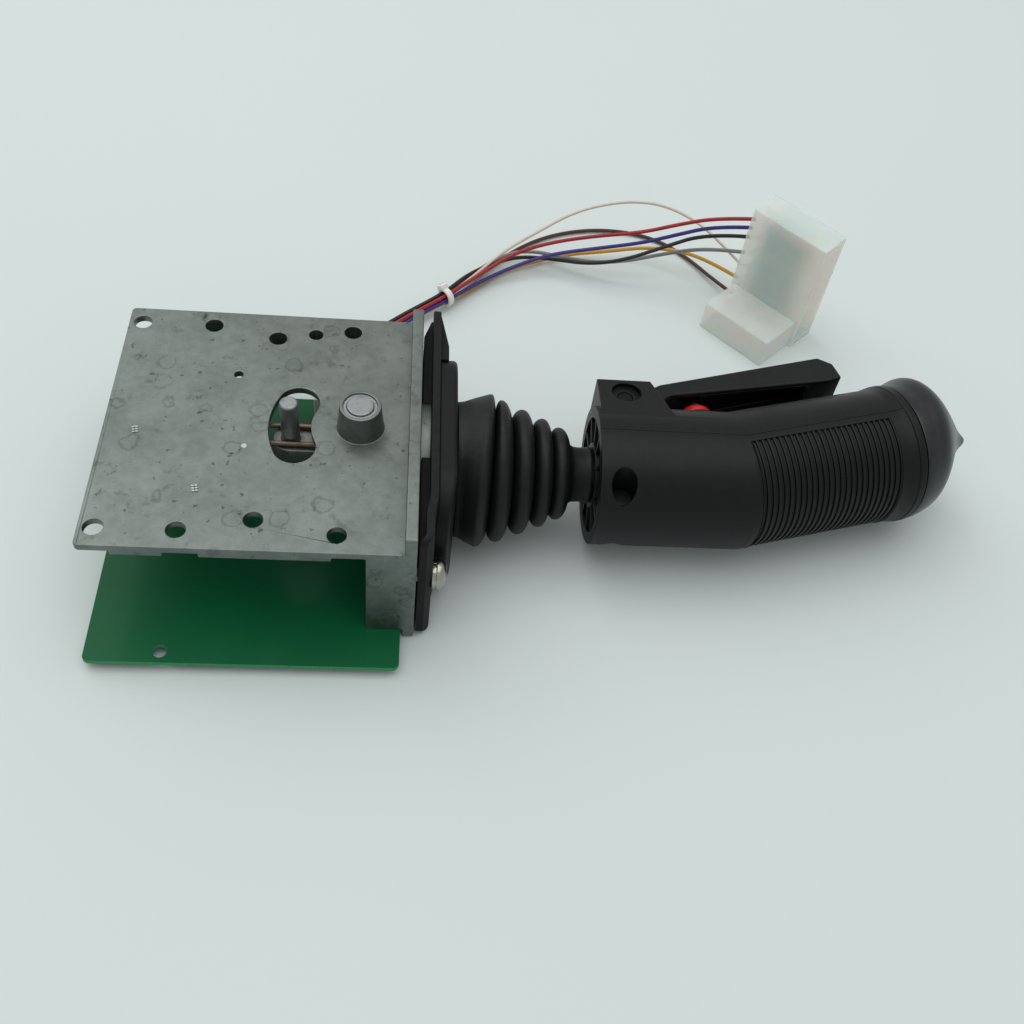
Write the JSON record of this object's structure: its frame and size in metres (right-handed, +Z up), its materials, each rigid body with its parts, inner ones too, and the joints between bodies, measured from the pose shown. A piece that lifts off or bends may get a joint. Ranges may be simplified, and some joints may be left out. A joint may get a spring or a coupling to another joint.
{
  "type": "industrial joystick with a trigger grip",
  "caption": "Industrial joystick lying on a bench: cast frame with a circuit board, rubber boot, angled ribbed grip with trigger and rubber cap, and a wire lead to a clear connector.",
  "frame": {"origin": "the middle of the end wall's outer face, on the lever's axis, where the lever leaves the frame", "axes": "+X along the lever from the frame towards the grip, +Y across the top plate away from the board's bare edge, +Z up, square to the top plate"},
  "size_m": [0.2832, 0.2193, 0.052],
  "materials": {
    "cast_zinc": "as-cast, mottled",
    "hub_metal": "machined casting",
    "bronze": "satin",
    "steel": "turned",
    "spring_steel": "drawn",
    "zinc_plated": "zinc plated",
    "magnet": "nickel plated",
    "board_green": "solder mask",
    "chip_black": "moulded",
    "can_metal": "drawn can",
    "header_nylon": "natural nylon",
    "seal_rubber": "matt",
    "bezel_plastic": "satin",
    "boot_rubber": "matt, dusty",
    "grip_plastic": "fine texture",
    "core_plastic": "moulded",
    "trigger_plastic": "satin",
    "button_red": "gloss",
    "switch_black": "moulded",
    "cap_rubber": "smoky, semi-gloss",
    "insulation_grey": "satin",
    "insulation_brown": "satin",
    "insulation_black": "satin",
    "insulation_red": "satin",
    "insulation_white": "satin",
    "insulation_yellow": "satin",
    "insulation_blue": "satin",
    "tie_nylon": "natural nylon",
    "connector_nylon": "clear nylon",
    "terminal_tin": "tinned"
  },
  "bodies": {
    "frame": {"frame_casting": "cast_zinc", "upper_bush": "bronze", "lower_bush": "bronze", "thrust_washer": "bronze", "centring_spring": "spring_steel", "circuit_board": "board_green", "board_screws": "zinc_plated", "board_washers": "zinc_plated", "position_sensor": "chip_black", "board_chips": "chip_black", "board_capacitors": "can_metal", "board_diodes": "chip_black", "wire_header": "header_nylon", "panel_seal": "seal_rubber", "boot_bezel": "bezel_plastic", "panel_screws": "zinc_plated", "lock_washers": "zinc_plated", "boot": "boot_rubber", "cable_tie": "tie_nylon", "connector_housing": "connector_nylon", "connector_terminals": "terminal_tin", "wire_grey": "insulation_grey", "wire_brown": "insulation_brown", "wire_black": "insulation_black", "wire_red": "insulation_red", "wire_white": "insulation_white", "wire_yellow": "insulation_yellow", "wire_blue": "insulation_blue"},
    "lever": {"pivot_pin": "steel", "pin_clip": "spring_steel", "sensor_magnet": "magnet", "lever_hub": "hub_metal", "centring_post": "steel", "lever_shaft": "steel", "cross_pin": "steel", "handle_core": "core_plastic", "core_screws": "zinc_plated", "front_shell": "grip_plastic", "back_shell": "grip_plastic", "shell_screws": "zinc_plated", "trigger_pin": "steel", "trigger_spring": "spring_steel", "button_switch": "switch_black", "grip_collar": "grip_plastic", "rocker_switch": "switch_black", "rubber_cap": "cap_rubber"},
    "trigger": {"trigger": "trigger_plastic"},
    "button": {"red_button": "button_red"},
    "rocker": {"rocker": "switch_black"}
  },
  "joints": [
    {"name": "lever_swing", "type": "hinge", "parent": "frame", "child": "lever", "pos_m": [-0.0183, 0, 0], "axis": [0, 0, 1], "range_deg": [-15, 15], "stiffness_Nm_per_rad": 1.5, "deforming": ["boot", "centring_spring"]},
    {"name": "trigger_pull", "type": "hinge", "parent": "lever", "child": "trigger", "pos_m": [0.0655, 0.0195, 0], "axis": [0, 0, -1], "range_deg": [0, 4.1], "stiffness_Nm_per_rad": 2, "deforming": ["trigger_spring"]},
    {"name": "button_press", "type": "slide", "parent": "lever", "child": "button", "axis": [0, -1, 0], "range_m": [0, 0.002]},
    {"name": "thumb_rocker", "type": "hinge", "parent": "lever", "child": "rocker", "pos_m": [0.16322, 0.01656, 0], "axis": [-0.2588, 0.9659, 0], "range_deg": [-8, 8], "stiffness_Nm_per_rad": 0.5}
  ],
  "couplings": [
    {"joint": "button_press", "follows": "trigger_pull", "m_per_rad": 0.0277}
  ]
}
